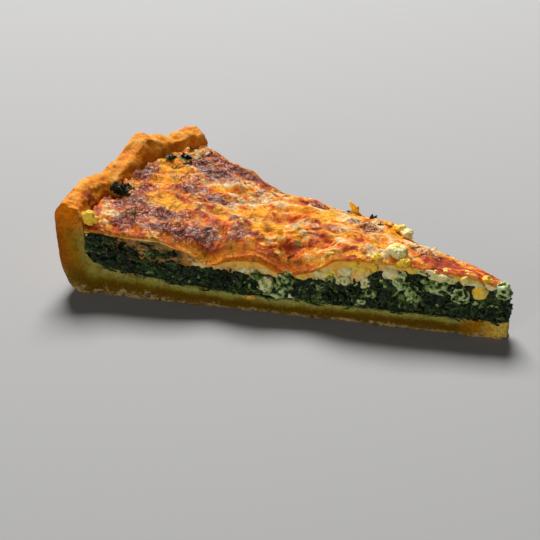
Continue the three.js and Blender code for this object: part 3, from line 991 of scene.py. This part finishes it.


# --- Chopped leaves -------------------------------------------------------------------------------

# Knots of leaf that stand out of the cut at the front: radius, height, size along, through and up, and the
# tone on their ruffles, partly the leaf's own paleness and partly painted highlights
LEAF_KNOTS = [
    (37.0, 15.4, (5.0, 3.4, 5.6), 0.95), (33.2, 11.4, (5.4, 3.2, 5.4), 0.85),
    # The dark knot at radius 30.6, under the edge of the cheese, is dark leaf and painted shade under that
    # edge.
    (30.6, 18.4, (5.4, 2.6, 2.2), 0.12), (26.4, 14.8, (8.0, 3.4, 5.0), 1.0),
    (20.0, 12.6, (6.0, 3.2, 4.6), 0.95), (22.4, 9.2, (5.4, 3.0, 3.0), 0.4),
    (13.6, 10.4, (7.0, 2.6, 2.6), 0.65), (9.6, 7.6, (4.6, 2.6, 2.4), 0.5),
    (46.2, 12.4, (5.2, 3.0, 4.0), 0.3), (50.4, 7.6, (7.4, 3.0, 2.8), 0.85),
    (55.4, 7.0, (4.4, 2.0, 2.0), 0.6), (61.6, 10.6, (6.0, 3.0, 5.0), 0.6),
    (66.0, 8.4, (4.4, 2.6, 4.0), 0.5), (70.8, 11.4, (5.8, 3.2, 6.0), 0.85),
    (73.4, 7.6, (5.4, 3.2, 4.4), 0.85), (79.6, 11.8, (4.2, 3.0, 3.0), 0.7),
    (41.0, 9.4, (5.4, 3.0, 4.0), 0.25), (37.6, 6.8, (4.6, 2.0, 2.4), 0.6),
    (28.4, 7.4, (5.2, 2.4, 2.4), 0.35), (57.6, 13.6, (4.0, 2.6, 3.4), 0.7),
    (17.0, 7.2, (5.0, 2.4, 2.4), 0.35),
]
# Near the wall this share of the leaves may rise out of the layer, by up to this much
RISING_REACH = (105, 130)
RISING_SHARE = 0.4
RISING_BY = 5.5
# The furthest that a leaf reaches, just inside the crust's wall
LEAF_REACH = 131.9
# The size of the ruffles of a curly knot
RUFFLE_SIZE = 2.1


def hides_knot(radius, height):
    """Whether a leaf on the front cut would cover one of the pale knots."""
    return any(
        tone > 0.8 and ((radius - at) / size[0]) ** 2 + ((height - middle) / size[2]) ** 2 < 0.13
        for at, middle, size, tone in LEAF_KNOTS
    )


def leaf_tone(random, radius):
    """Mostly dark, greener towards the tip, now and then a pale stem."""
    if random.random() < 0.05:
        return random.uniform(0.45, 0.75)
    brightest = 0.45 + 0.04 * smooth(radius, 80, 40)
    return brightest * random.random() ** 1.5


def within_layer(points, raised=False):
    """Leaves pressed flat on the pastry, and kept in their layer, or under the cheese if raised."""
    x, y = points[:, 0] - CENTRE_X, points[:, 1]
    radius = np.hypot(x, y)
    across = np.clip(np.arctan2(y, -x) / HALF_ANGLE, -1, 1)
    most = np.maximum(spinach_top(radius, across) + 0.9, floor_top(radius) + 1)
    if raised:
        most = cheese_bottom(radius, across) - 0.5
    height = np.clip(points[:, 2], floor_top(np.minimum(radius, 131)) + 0.12, most)
    closer = np.minimum(radius, LEAF_REACH) / radius
    return np.stack([CENTRE_X + x * closer, y * closer, height], -1)


def chopped_leaf(random, side, radius, strands, crumples):
    """A chopped leaf on a cut, or nothing where it would cover a lump or a pale knot."""
    low = floor_top(radius) + 0.4
    high = float(spinach_top(radius, side)) - 0.2
    if RISING_REACH[0] < radius < RISING_REACH[1] and random.random() < RISING_SHARE:
        high += RISING_BY
    height = random.uniform(low, max(high, low + 0.5))
    crumpled = random.random() < smooth(radius, 80, 40) * 0.5 + 0.06
    angle = side * HALF_ANGLE
    out = random.uniform(-1.1, blend(0.05, 0.35, smooth(radius, 70, 85)))
    middle = spot(radius, math.degrees(angle), height, out)
    if crumpled:
        turns = random.uniform(-math.pi, math.pi, 3)
        size = random.uniform(0.5, 1.2) * random.uniform(0.8, 1.2, 3)
        points, faces = crumples[random.integers(len(crumples))]
    else:
        turns = (random.normal(0, 0.9), random.normal(0.08, 0.2), -angle + random.normal(0, 0.15))
        size = (random.uniform(0.35, 1.3), random.uniform(0.25, 0.8), random.uniform(0.6, 1.6))
        points, faces = strands[random.integers(len(strands))]
    if hides_lump(middle) or (side == FRONT and hides_knot(radius, height)):
        return None
    points = turned(points * size, turns) + middle
    points = within_layer(points, np.any(points[:, 2] > spinach_top(radius, side) + 1))
    tone = leaf_tone(random, radius) + 0.16 * rough(points, 1.3, 68, 2)
    return points, faces, {"tone": np.clip(tone, 0, 1)}


def floor_stem(random, side, strands):
    """A pale stem that lies along the pastry."""
    radius = random.uniform(40, 128)
    height = floor_top(radius) + random.uniform(0.3, 2.2)
    middle = spot(radius, side * CUT_ANGLE, height, random.uniform(-0.1, 0.3))
    turns = (random.normal(0, 0.5), random.normal(0.1, 0.08), -side * HALF_ANGLE)
    points, faces = strands[random.integers(len(strands))]
    size = (random.uniform(0.6, 1.6), random.uniform(0.1, 0.22), 0.3)
    points = within_layer(turned(points * size, turns) + middle)
    return points, faces, {"tone": random.uniform(0.4, 0.78)}


def floor_scrap(random, side, crumples):
    """A scrap of leaf that sticks to the cut pastry."""
    radius = 9 + 117 * random.random() ** 1.4
    height = floor_top(radius) + random.uniform(-0.7, 0.4)
    middle = spot(radius, side * CUT_ANGLE, height, random.uniform(0.1, 0.4))
    turns = (random.normal(0, 0.4), random.normal(0, 0.3), -side * HALF_ANGLE)
    points, faces = crumples[random.integers(len(crumples))]
    points = turned(points * random.uniform(0.2, 0.5, 3) * (1.4, 0.6, 0.8), turns) + middle
    return points, faces, {"tone": random.uniform(0.0, 0.6)}


def chopped_leaves(finish):
    random = np.random.default_rng(5)
    strands = [leaf_pattern(8, 1, strand_shape(k), 0.35) for k in range(6)]
    crumples = [leaf_pattern(5, 4, crumple_shape(k), 0.26) for k in range(6)]
    bits = []
    for side, count in ((FRONT, 1370), (BACK, 1000)):
        for radius in random.uniform(8.0, 130.5, count):
            bit = chopped_leaf(random, side, radius, strands, crumples)
            if bit:
                bits.append(bit)
        bits += [floor_stem(random, side, strands) for _ in range(60)]
        bits += [floor_scrap(random, side, crumples) for _ in range(70)]
    joined("chopped_leaves", bits, finish, "spinach")


def curly_bit(middle, size, seed, dark, light):
    """A knot of curly leaf, with painted highlights on its ruffles and painted shade between them."""
    points, faces = crumb_pattern(seed, 0.1, 4)
    spots = points * size + middle
    broad = crests(warped(spots, 2, 0.8, seed), RUFFLE_SIZE, seed + 1)
    ruffle = broad + 0.6 * crests(spots, RUFFLE_SIZE * 0.55, seed + 2) - 0.75
    # The tone runs from dark between the ruffles, as painted shade, to light on their crests, as painted
    # highlights.
    tone = blend(dark, light, smooth(ruffle, -0.7, 0.35) + 0.3 * rough(spots, 2.6, seed + 3))
    spots = spots + away(points) * ruffle[:, None] * min(0.8, 0.25 * min(size))
    return spots, faces, {"tone": np.clip(tone, 0, 1)}


def curly_leaves(finish):
    random = np.random.default_rng(9)
    bits = [
        curly_bit(spot(7.4, -12, 15.2), (4.6, 4, 5.0), 101, 0.15, 1.25),
        curly_bit(spot(9.6, -4, 9.0), (3.4, 4.4, 3.4), 104, 0.0, 0.6),
        curly_bit(spot(10, 6, 13), (3.6, 4.4, 4.4), 107, 0.0, 0.8),
    ]
    for number, (radius, height, size, light) in enumerate(LEAF_KNOTS):
        out = random.uniform(-0.7, -0.3) + 0.5 * (light > 0.8)
        middle = spot(radius, FRONT * CUT_ANGLE, height, out)
        bits.append(curly_bit(middle, size, 410 + 3 * number, -0.1, light))
    for side, count in ((FRONT, 18), (BACK, 34)):
        for number in range(count):
            radius = 10 + 66 * (number + random.random()) / count
            low, high = floor_top(radius) + 1.4, float(spinach_top(radius, side)) - 0.4
            height = blend(low, high, random.random() ** 0.8)
            middle = spot(radius, side * CUT_ANGLE, height, random.uniform(-1.5, -0.3))
            size = random.uniform(2.2, 4.2) * random.uniform(0.75, 1.25, 3) * (1.25, 1, 0.85)
            if not hides_lump(middle, 1.0):
                light = random.uniform(0.2, 0.85)
                bits.append(curly_bit(middle, size, 110 + len(bits) * 3, -0.1, light))
    joined("curly_leaves", bits, finish, "spinach")


# --- Lumps and toppings ---------------------------------------------------------------------------


def ball(name, low, high, seed, golden, leafy):
    """A soft lump that fills a box, given in millimetres: squarish, crumbly, and stained by leaf or heat."""
    deselect()
    bpy.ops.mesh.primitive_ico_sphere_add(subdivisions=5, radius=0.5)
    piece = bpy.context.active_object
    piece.name = name
    points = corners(piece)
    squared = points / np.linalg.norm(points, ord=2.6, axis=1)[:, None] * 0.5
    size, middle = high - low, (high + low) / 2
    spots = squared * size * 0.9 + middle
    crumbly = 0.6 * crumbs(warped(spots, 2, 0.8, seed), 2.1, seed % 17) + 0.4 * crumbs(spots, 1.0, seed % 13)
    spots = spots + away(points) * (0.75 * crumbly - 0.3 + 0.45 * rough(spots, 2.8, seed + 1))[:, None]
    store(
        piece, np.clip(spots, low - 0.15, high + 0.15),
        greened=leafy - 0.45 * crumbly + 0.4 * rough(spots, 1.8, seed + 2),
        golden=(golden + 0.5 * rough(spots, 2.4, seed + 3)) * (golden > 0),
    )
    return piece


# How golden or stained by leaf a lump is, where it isn't as plain as the rest
GOLDEN_LUMPS = {"cheese_lump_5": 0.36, "cheese_lump_4": 0.1, "cheese_lump_6": 0.14}
LEAFY_LUMPS = {"cheese_lump_1": 0.75, "cheese_lump_2": 0.75, "cheese_lump_3": 0.6}


def curds(finish):
    for number, (name, (low, high)) in enumerate(LUMPS.items()):
        golden, leafy = GOLDEN_LUMPS.get(name, 0.0), LEAFY_LUMPS.get(name, 0.42)
        piece = ball(f"curd_{number + 1}", low, high, 160 + 5 * number, golden, leafy)
        shade(piece, finish, "pale_cheese", name)


# Other bits of cheese: radius, angle, height, size along, through and up, and how golden
CHEESE_BITS = [
    (24.5, -15.2, 17.4, (8.5, 3.4, 2.8), 0.1), (18.2, -14.4, 17.7, (4, 3.6, 3.2), 0.25),
    (30, -15.2, 18.6, (5, 2.4, 1.8), 0.1), (81.3, -15.3, 4.6, (3.0, 1.4, 1.6), 0.85),
    (61, -15.2, 14.4, (4.4, 2, 2.2), 0.15), (69, -15.4, 6.4, (3, 1.6, 1.6), 0.0),
    (36.5, -14.6, 20.6, (3.6, 3, 2.2), 0.5), (44, -14.2, 21.2, (3, 2.6, 2), 0.6),
    (12.4, -14, 18.4, (2.6, 2.4, 1.8), 0.7), (83, -15.3, 13.2, (5.5, 1.6, 1.6), 0.0),
    (44, 12.2, 20.4, (4, 3, 2.6), 0.1), (47.5, 13, 20.8, (3.4, 3, 2.4), 0.3),
    (50, 14.9, 12, (4, 2, 2.4), 0.0), (75, 15.2, 10.6, (3.4, 1.8, 2), 0.0),
    (22, 14.6, 14, (3.4, 2.2, 2.4), 0.0), (48.5, -15.2, 17.4, (4.6, 2.2, 3.2), 0.35),
    (53, -15.2, 16.0, (4.4, 2, 3), 0.12), (57.5, -15.2, 14.8, (3.6, 2, 2.6), 0.3),
    (45, -15.2, 18.6, (2.8, 1.8, 2.6), 0.45), (51, -15.3, 18.8, (3.2, 1.8, 2.4), 0.6),
    (65.5, -15.3, 12.8, (3.6, 1.6, 1.4), 0.3), (71, -15.3, 12.2, (3, 1.5, 1.2), 0.1),
    (14.6, -15.1, 16.6, (3.2, 2.0, 2.2), 0.2), (20.6, -15.2, 17.9, (3.2, 2.0, 2.0), 0.5),
    (27.4, -15.2, 18.4, (3.4, 2.0, 2.2), 0.2), (33.4, -15.2, 19.0, (3.8, 2.2, 2.2), 0.35),
]


def cheese_bits(finish):
    random = np.random.default_rng(15)
    bits = []
    for number, (radius, angle, height, size, golden) in enumerate(CHEESE_BITS):
        pattern, faces = crumb_pattern(200 + number, 0.3, 4)
        points = turned(pattern * size, (0, 0, -math.radians(angle))) + spot(radius, angle, height)
        crumbly = 0.6 * crumbs(warped(points, 1.5, 0.6, 231), 1.5, number) - 0.2
        crumbly += 0.25 * rough(points, 1, 230)
        points += crumbly[:, None] * pattern / np.linalg.norm(pattern, axis=1)[:, None]
        painted = {"greened": 0.34 - 0.3 * crumbly + 0.45 * rough(points, 1.8, 232), "golden": golden}
        bits.append((points, faces, painted))
    small = [crumb_pattern(240 + k, 0.3) for k in range(5)]
    for side in (FRONT, BACK):
        for radius in 9 + 105 * random.random(30) ** 1.5:
            height = random.uniform(floor_top(radius) + 0.5, float(spinach_top(radius, side)))
            middle = spot(radius, side * CUT_ANGLE, height, random.uniform(-0.1, 0.45))
            points, faces = small[random.integers(len(small))]
            size = random.uniform(0.6, 1.8) * random.uniform(0.5, 1.5, 3)
            turns = random.uniform(-3, 3, 3)
            painted = {"greened": random.uniform(0.45, 0.95) + 0.4 * (radius > 70), "golden": 0.0}
            bits.append((turned(points * size, turns) + middle, faces, painted))
    joined("cheese_bits", bits, finish, "pale_cheese")


def shred_shape(lean, tall, wide):
    """A tapering shred that stands up from the origin and leans along X."""
    def shape(x, y):
        up = x + 0.5
        width = wide * (1 - up) ** 0.8 * (1 + 0.3 * np.sin(up * 11))
        return np.stack([y * width + lean * up * up, 0.35 * np.sin(up * 6 + lean), up * tall], -1)
    return shape


# Leaves baked into the cheese: radius, angle, lift, size along, through and up, and tone
BAKED_LEAVES = [
    (130.0, -5.6, 1.3, (5.4, 4.4, 3.2), 0.2), (129.0, -4.4, 0.8, (3.8, 3.2, 2.2), 0.28),
    (127.6, -6.3, 0.3, (2.6, 2.0, 1.2), 0.35), (130.4, 7.6, 0.4, (3.8, 2.6, 1.5), 0.2),
    (128.0, 9.4, 0.3, (3.8, 3.0, 1.4), 0.08), (129.6, 11.6, 0.3, (3.4, 2.4, 1.2), 0.2),
    (125.4, 8.4, 0.1, (3.6, 1.8, 0.9), 0.45), (126.8, 6.2, 0.1, (3.2, 1.6, 0.9), 0.6),
    (123.6, 6.4, 0.0, (2.8, 1.4, 0.8), 0.45), (57.6, 13.0, 0.5, (2.6, 1.9, 2.0), 0.05),
    (66.4, 13.2, 0.1, (2.8, 1.4, 0.9), 0.1), (121.0, -10.5, 0.1, (2.2, 1.6, 0.7), 0.3),
    (118.2, -11.8, 0.1, (2.0, 1.3, 0.7), 0.2), (70.0, -12.4, 0.0, (3.0, 1.1, 0.6), 0.15),
    (62.0, -8.6, 0.0, (2.0, 1.2, 0.6), 0.3), (69.0, -5.6, 0.0, (2.0, 1.0, 0.6), 0.2),
    (109.5, -8.0, 0.0, (1.6, 1.0, 0.6), 0.3), (52.0, 9.0, 0.1, (1.6, 1.2, 0.8), 0.5),
]
# Crumbs of cheese on top: radius, angle, lift, size and how golden
TOP_CRUMBS = [
    (36.0, -12.6, 0.1, (3.2, 2.4, 1.6), 0.3), (43.5, -12.2, 0.0, (3.4, 2.2, 1.4), 0.4),
    (46.5, -13.4, -0.1, (2.6, 1.8, 1.5), 0.3), (41.5, 10.5, 0.1, (3.2, 2.0, 1.5), 0.1),
    (46.0, 11.8, 0.1, (3.4, 1.8, 1.4), 0.25), (51.5, 12.4, 0.0, (2.8, 1.6, 1.2), 0.4),
    (36.4, 10.4, 0.1, (2.4, 1.5, 1.3), 0.25), (24.0, -12.6, -0.1, (3.2, 1.6, 1.1), 0.35),
    (17.6, -11.5, -0.1, (2.6, 1.6, 1.1), 0.4), (12.0, -12.5, 0.0, (2.4, 1.6, 1.3), 0.5),
    (58.0, -13.0, -0.1, (3.0, 1.5, 1.0), 0.4), (38.6, 12.0, 0.0, (2.2, 1.3, 1.2), 0.0),
]

# Egg that ran up the crust at the front: radius, height and size
EGG = [
    (131.2, 22.0, (3.8, 1.8, 4.2)), (130.8, 24.6, (3.4, 2.2, 3.0)), (132.4, 23.6, (2.6, 1.8, 3.8)),
    (131.9, 20.4, (2.2, 1.6, 2.4)), (129.4, 23.8, (3.0, 2.0, 1.8)),
]
# A crisp shred that stands up: its radius and angle, and the lean, height, width and turn of its curls
SHRED_PLACE = (64.2, 12.7)
SHRED_CURLS = [(-1.9, 5.2, 3.4, 0.5), (1.0, 3.4, 2.6, 0.9), (-0.5, 4.2, 3.0, 0.2)]


def toppings(leaf, curd):
    """Leaves and crumbs baked into the cheese, a crisp shred, and the egg that ran up the crust."""
    random = np.random.default_rng(35)
    crumples = [leaf_pattern(18, 15, crumple_shape(k * 1.7), 0.24) for k in range(5)]
    bits = []
    for radius, angle, lift, size, tone in BAKED_LEAVES:
        for _ in range(3 if size[0] > 3 else 2):
            points, faces = crumples[random.integers(len(crumples))]
            turns = (random.normal(0, 0.5), random.normal(0, 0.25), random.uniform(-3, 3))
            middle = spot(radius, angle) + (*random.normal(0, 0.09, 2) * size[0], lift)
            points = turned(points * np.array(size) / (3.9, 2.9, 2.6), turns) + middle
            bits.append((points, faces, {"tone": np.clip(tone + 0.22 * rough(points, 1.4, 86), 0, 1)}))
    joined("baked_leaves", bits, leaf, "spinach")

    golden = []
    for lean, tall, wide, turn in SHRED_CURLS:
        points, faces = leaf_pattern(9, 2, shred_shape(lean, tall, wide), 0.45)
        points = turned(points, (0, 0, turn)) + spot(*SHRED_PLACE) - (0, 0, 0.6)
        golden.append((points, faces, {"golden": 0.7}))
    crumbly = [(spot(radius, -14.75, height), size, 0.46) for radius, height, size in EGG]
    for radius, angle, lift, size, warm in TOP_CRUMBS:
        middle = spot(radius, angle) + (0, 0, lift - 0.3)
        crumbly.append((middle, np.array(size) * (0.9, 0.9, 0.75), warm))
    for number, (middle, size, warm) in enumerate(crumbly):
        pattern, faces = crumb_pattern(281 + number, 0.45, 4)
        points = turned(pattern * size, (0, 0, HALF_ANGLE)) + middle
        depth = 0.3 if number < len(EGG) else 0.9
        dents = crumbs(warped(points, 1.5, 0.5, number), 1.4, 3 + number) - 0.33
        points += depth * dents[:, None] * pattern
        golden.append((points, faces, {"golden": warm + 0.25 * rough(points, 1.6, 285)}))
    golden = [(points, faces, {"greened": 0.0, **painted}) for points, faces, painted in golden]
    joined("golden_bits", golden, curd, "pale_cheese")


def pastry_flakes(finish):
    """Thin flakes of pastry that stick out along the bottom of the cuts."""
    random = np.random.default_rng(25)
    patterns = [leaf_pattern(3, 2, crumple_shape(k * 1.3), 0.25) for k in range(5)]
    bits = []
    for side, count in ((FRONT, 260), (BACK, 220)):
        for radius in 9 + 125 * random.random(count) ** 0.7:
            points, faces = patterns[random.integers(len(patterns))]
            size = random.uniform(0.2, 0.7) * np.array([1, 0.7, 0.3])
            turns = (random.normal(0, 0.4), random.normal(0, 0.2), -side * HALF_ANGLE + random.normal(0, 0.3))
            reach = 0.9 + 1.6 * smooth(radius, 95, 118)
            height = 0.35 + reach * random.random() ** 2
            middle = spot(radius, side * CUT_ANGLE, height, random.uniform(-0.4, 0.3))
            points = turned(points * size, turns) + middle
            points[:, 2] = np.maximum(points[:, 2], 0.02)
            painted = {"depth": 0.05, "cut": 1.0, "bake": 0.0, "height": 0.0, "tip": 0.0}
            bits.append((points, faces, {**painted, "flaky": random.uniform(0, 1.1)}))
    joined("pastry_flakes", bits, finish, "pastry")


# --- Stage ----------------------------------------------------------------------------------------

# The view: angles in degrees, and the distance and the point looked at in millimetres
VIEW_ANGLE = 16
VIEW_AZIMUTH = 29.37
VIEW_ELEVATION = 26.0
VIEW_DISTANCE = 560.7
VIEW_TARGET = (CENTRE_X - 73.8, -18.3, 13)
# Soft lights: azimuth and elevation in degrees, distance and size in metres, power and colour
LAMPS = {
    "window": (215, 50, 1.6, 0.7, 51, (1.0, 0.99, 0.97)),
    "room": (0, 15, 1.8, 0.7, 12, (1.0, 0.98, 0.95)),
}
FLOOR_SIZE = 6
FLOOR_GREY = (0.275, 0.275, 0.277)
SKY_COLOUR = (0.9, 0.95, 1.0, 1)
SKY_STRENGTH = 0.04


def direction(azimuth, elevation):
    """From the slice towards an azimuth, counted from the front, and an elevation, both in degrees."""
    azimuth, elevation = math.radians(azimuth), math.radians(elevation)
    return Vector((
        math.sin(azimuth) * math.cos(elevation), -math.cos(azimuth) * math.cos(elevation), math.sin(elevation)
    ))


def facing(back):
    """The turn that makes a camera or a lamp look against a direction."""
    return back.to_track_quat("Z", "Y").to_euler()


def camera():
    back = direction(VIEW_AZIMUTH, VIEW_ELEVATION)
    bpy.ops.object.camera_add(location=(Vector(VIEW_TARGET) + back * VIEW_DISTANCE) * MM)
    eye = bpy.context.active_object
    eye.rotation_euler = facing(back)
    eye.data.angle = math.radians(VIEW_ANGLE)
    eye.data.clip_start = 0.01
    bpy.context.scene.camera = eye


def lamp(name, azimuth, elevation, distance, size, power, colour):
    """A square soft light that faces the slice."""
    light = bpy.data.lights.new(name, "AREA")
    light.size = size
    light.energy = power
    light.color = colour
    holder = bpy.data.objects.new(name, light)
    back = direction(azimuth, elevation)
    holder.location = back * distance
    holder.rotation_euler = facing(back)
    bpy.context.scene.collection.objects.link(holder)


def stage():
    deselect()
    bpy.ops.mesh.primitive_plane_add(size=FLOOR_SIZE)
    floor = bpy.context.active_object
    floor.name = "floor"
    floor.data.materials.append(Finish("floor_grey").finished(Base_Color=FLOOR_GREY, Roughness=0.8))
    for name, settings in LAMPS.items():
        lamp(name, *settings)
    world = bpy.data.worlds.new("room")
    bpy.context.scene.world = world
    world.use_nodes = True
    background = world.node_tree.nodes["Background"]
    background.inputs["Color"].default_value = SKY_COLOUR
    background.inputs["Strength"].default_value = SKY_STRENGTH
    bpy.context.scene.view_settings.view_transform = "Standard"


# --- The slice ------------------------------------------------------------------------------------

camera()
stage()
pastry, leaf, curd = pastry_finish(), leaf_finish(), curd_finish()
crust(pastry)
pastry_flakes(pastry)
spinach_core(leaf)
chopped_leaves(leaf)
curly_leaves(leaf)
custard(custard_finish())
curds(curd)
cheese_bits(curd)
cheese(cheese_finish())
toppings(leaf, curd)
